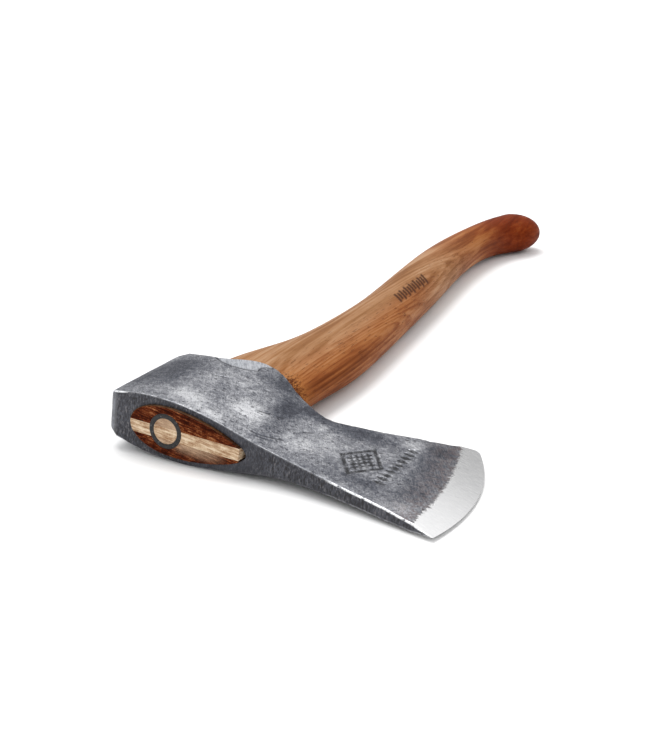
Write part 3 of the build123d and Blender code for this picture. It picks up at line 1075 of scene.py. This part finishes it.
def ring_steel():
    """Blackened drawn steel with a faint sheen and a few rubbed spots."""
    p = Paint("ring_steel")
    mm = p.attribute("mm", vector=True)
    grain = p.noise(mm, 1.4, 5, 0.65)
    spots = p.between(p.noise(mm, 0.7, 4, 0.6), 0.58, 0.74)
    colour = p.ramp(grain, [(0.3, (0.012, 0.012, 0.012)), (0.7, (0.048, 0.047, 0.047))])
    colour = p.mix(p.times(spots, 0.5), colour, (0.20, 0.20, 0.21))
    p.bump(grain, 0.05, 0.8)
    return p.finish(colour, p.between(grain, 0.3, 0.7, 0.34, 0.48), 0.75)


def floor_paper():
    """A plain pale sheet."""
    p = Paint("pale_floor")
    at = p.add("ShaderNodeTexCoord").outputs["Object"]
    fibre = p.noise(at, 900.0, 3, 0.6)
    colour = p.ramp(fibre, [(0.0, (0.86, 0.86, 0.86)), (1.0, (0.88, 0.88, 0.88))])
    return p.finish(colour, 0.9, specular=0.0)


# === studio ===
def lay_floor():
    """A wide sheet under the hatchet, at the height that the frame rests on."""
    cells = 8
    line = np.linspace(-FLOOR_REACH, FLOOR_REACH, cells + 1)
    points = [(x, y, 0.0) for x in line for y in line]
    mesh = bpy.data.meshes.new("floor")
    mesh.from_pydata(points, [], net_faces(cells + 1, cells + 1)[:, ::-1].tolist())
    floor = bpy.data.objects.new("floor", mesh)
    floor.location.z = CAD_BOX[0][2]
    floor.data.materials.append(floor_paper())
    bpy.context.scene.collection.objects.link(floor)


def light_studio():
    """A dome that is bright below the horizon and high up, and one broad key."""
    world = bpy.data.worlds.new("surround")
    world.use_nodes = True
    nodes, links = world.node_tree.nodes, world.node_tree.links
    background = nodes["Background"].inputs
    direction = nodes.new("ShaderNodeTexCoord").outputs["Generated"]
    height = nodes.new("ShaderNodeSeparateXYZ")
    belt = nodes.new("ShaderNodeValToRGB")
    belt.color_ramp.interpolation = "EASE"
    set_stops(belt.color_ramp.elements, [(place, (grey,) * 3) for place, grey in DOME])
    links.new(direction, height.inputs[0])
    links.new(height.outputs[2], belt.inputs[0])
    links.new(belt.outputs[0], background["Color"])
    background["Strength"].default_value = DOME_STRENGTH
    bpy.context.scene.world = world

    key = bpy.data.lights.new("key", "SUN")
    key.energy = KEY_STRENGTH
    key.angle = math.radians(KEY_WIDTH)
    lamp = bpy.data.objects.new("key", key)
    lamp.location = KEY_FROM
    lamp.rotation_euler = (-Vector(KEY_FROM)).to_track_quat("-Z", "Y").to_euler()
    bpy.context.scene.collection.objects.link(lamp)


def place_camera():
    """Looks down past the head and up the handle, slightly rolled, as in the product view."""
    low, high = CAD_BOX
    aim = (Vector(low) + Vector(high)) / 2 + Vector(VIEW_AIM)
    turn = Matrix.Identity(4)
    for degrees, axis in ((VIEW_AZIMUTH, "Z"), (90 - VIEW_ELEVATION, "X"), (VIEW_ROLL, "Z")):
        turn = turn @ Matrix.Rotation(math.radians(degrees), 4, axis)
    data = bpy.data.cameras.new("camera")
    data.lens = LENS
    data.sensor_width = 36.0
    data.clip_start = 0.01
    camera = bpy.data.objects.new("camera", data)
    camera.matrix_world = Matrix.Translation(aim) @ turn @ Matrix.Translation((0, 0, VIEW_DISTANCE))
    bpy.context.scene.collection.objects.link(camera)
    bpy.context.scene.camera = camera


# === making ===
def paint(piece, *materials):
    piece.data.materials.clear()
    for material in materials:
        piece.data.materials.append(material)


def paint_handle(handle):
    """Hickory all over, with end grain on the sawn top."""
    paint(handle, oiled_hickory(), end_grain())
    for polygon in handle.data.polygons:
        centre = stood_up(np.array(polygon.center))
        polygon.material_index = 1 if centre[1] < -WOOD_PROUD + 0.02 else 0


def main():
    place_camera()
    light_studio()
    lay_floor()
    paint(build_head(), forged_steel())
    gap = front_gap()
    kerf = wedge_slab("kerf", 0.0)
    slab = wedge_slab("slab", SEAM)
    ring_hole = lathe("ring_hole", ring_profile(SEAM))
    paint_handle(build_handle(kerf, gap, ring_hole))
    paint(build_wedge(slab, gap, ring_hole), wedge_wood())
    for cutter in (gap, kerf, slab, ring_hole):
        bpy.data.objects.remove(cutter)
    paint(build_ring(), ring_steel())
    bpy.context.scene.view_settings.view_transform = "Standard"


main()
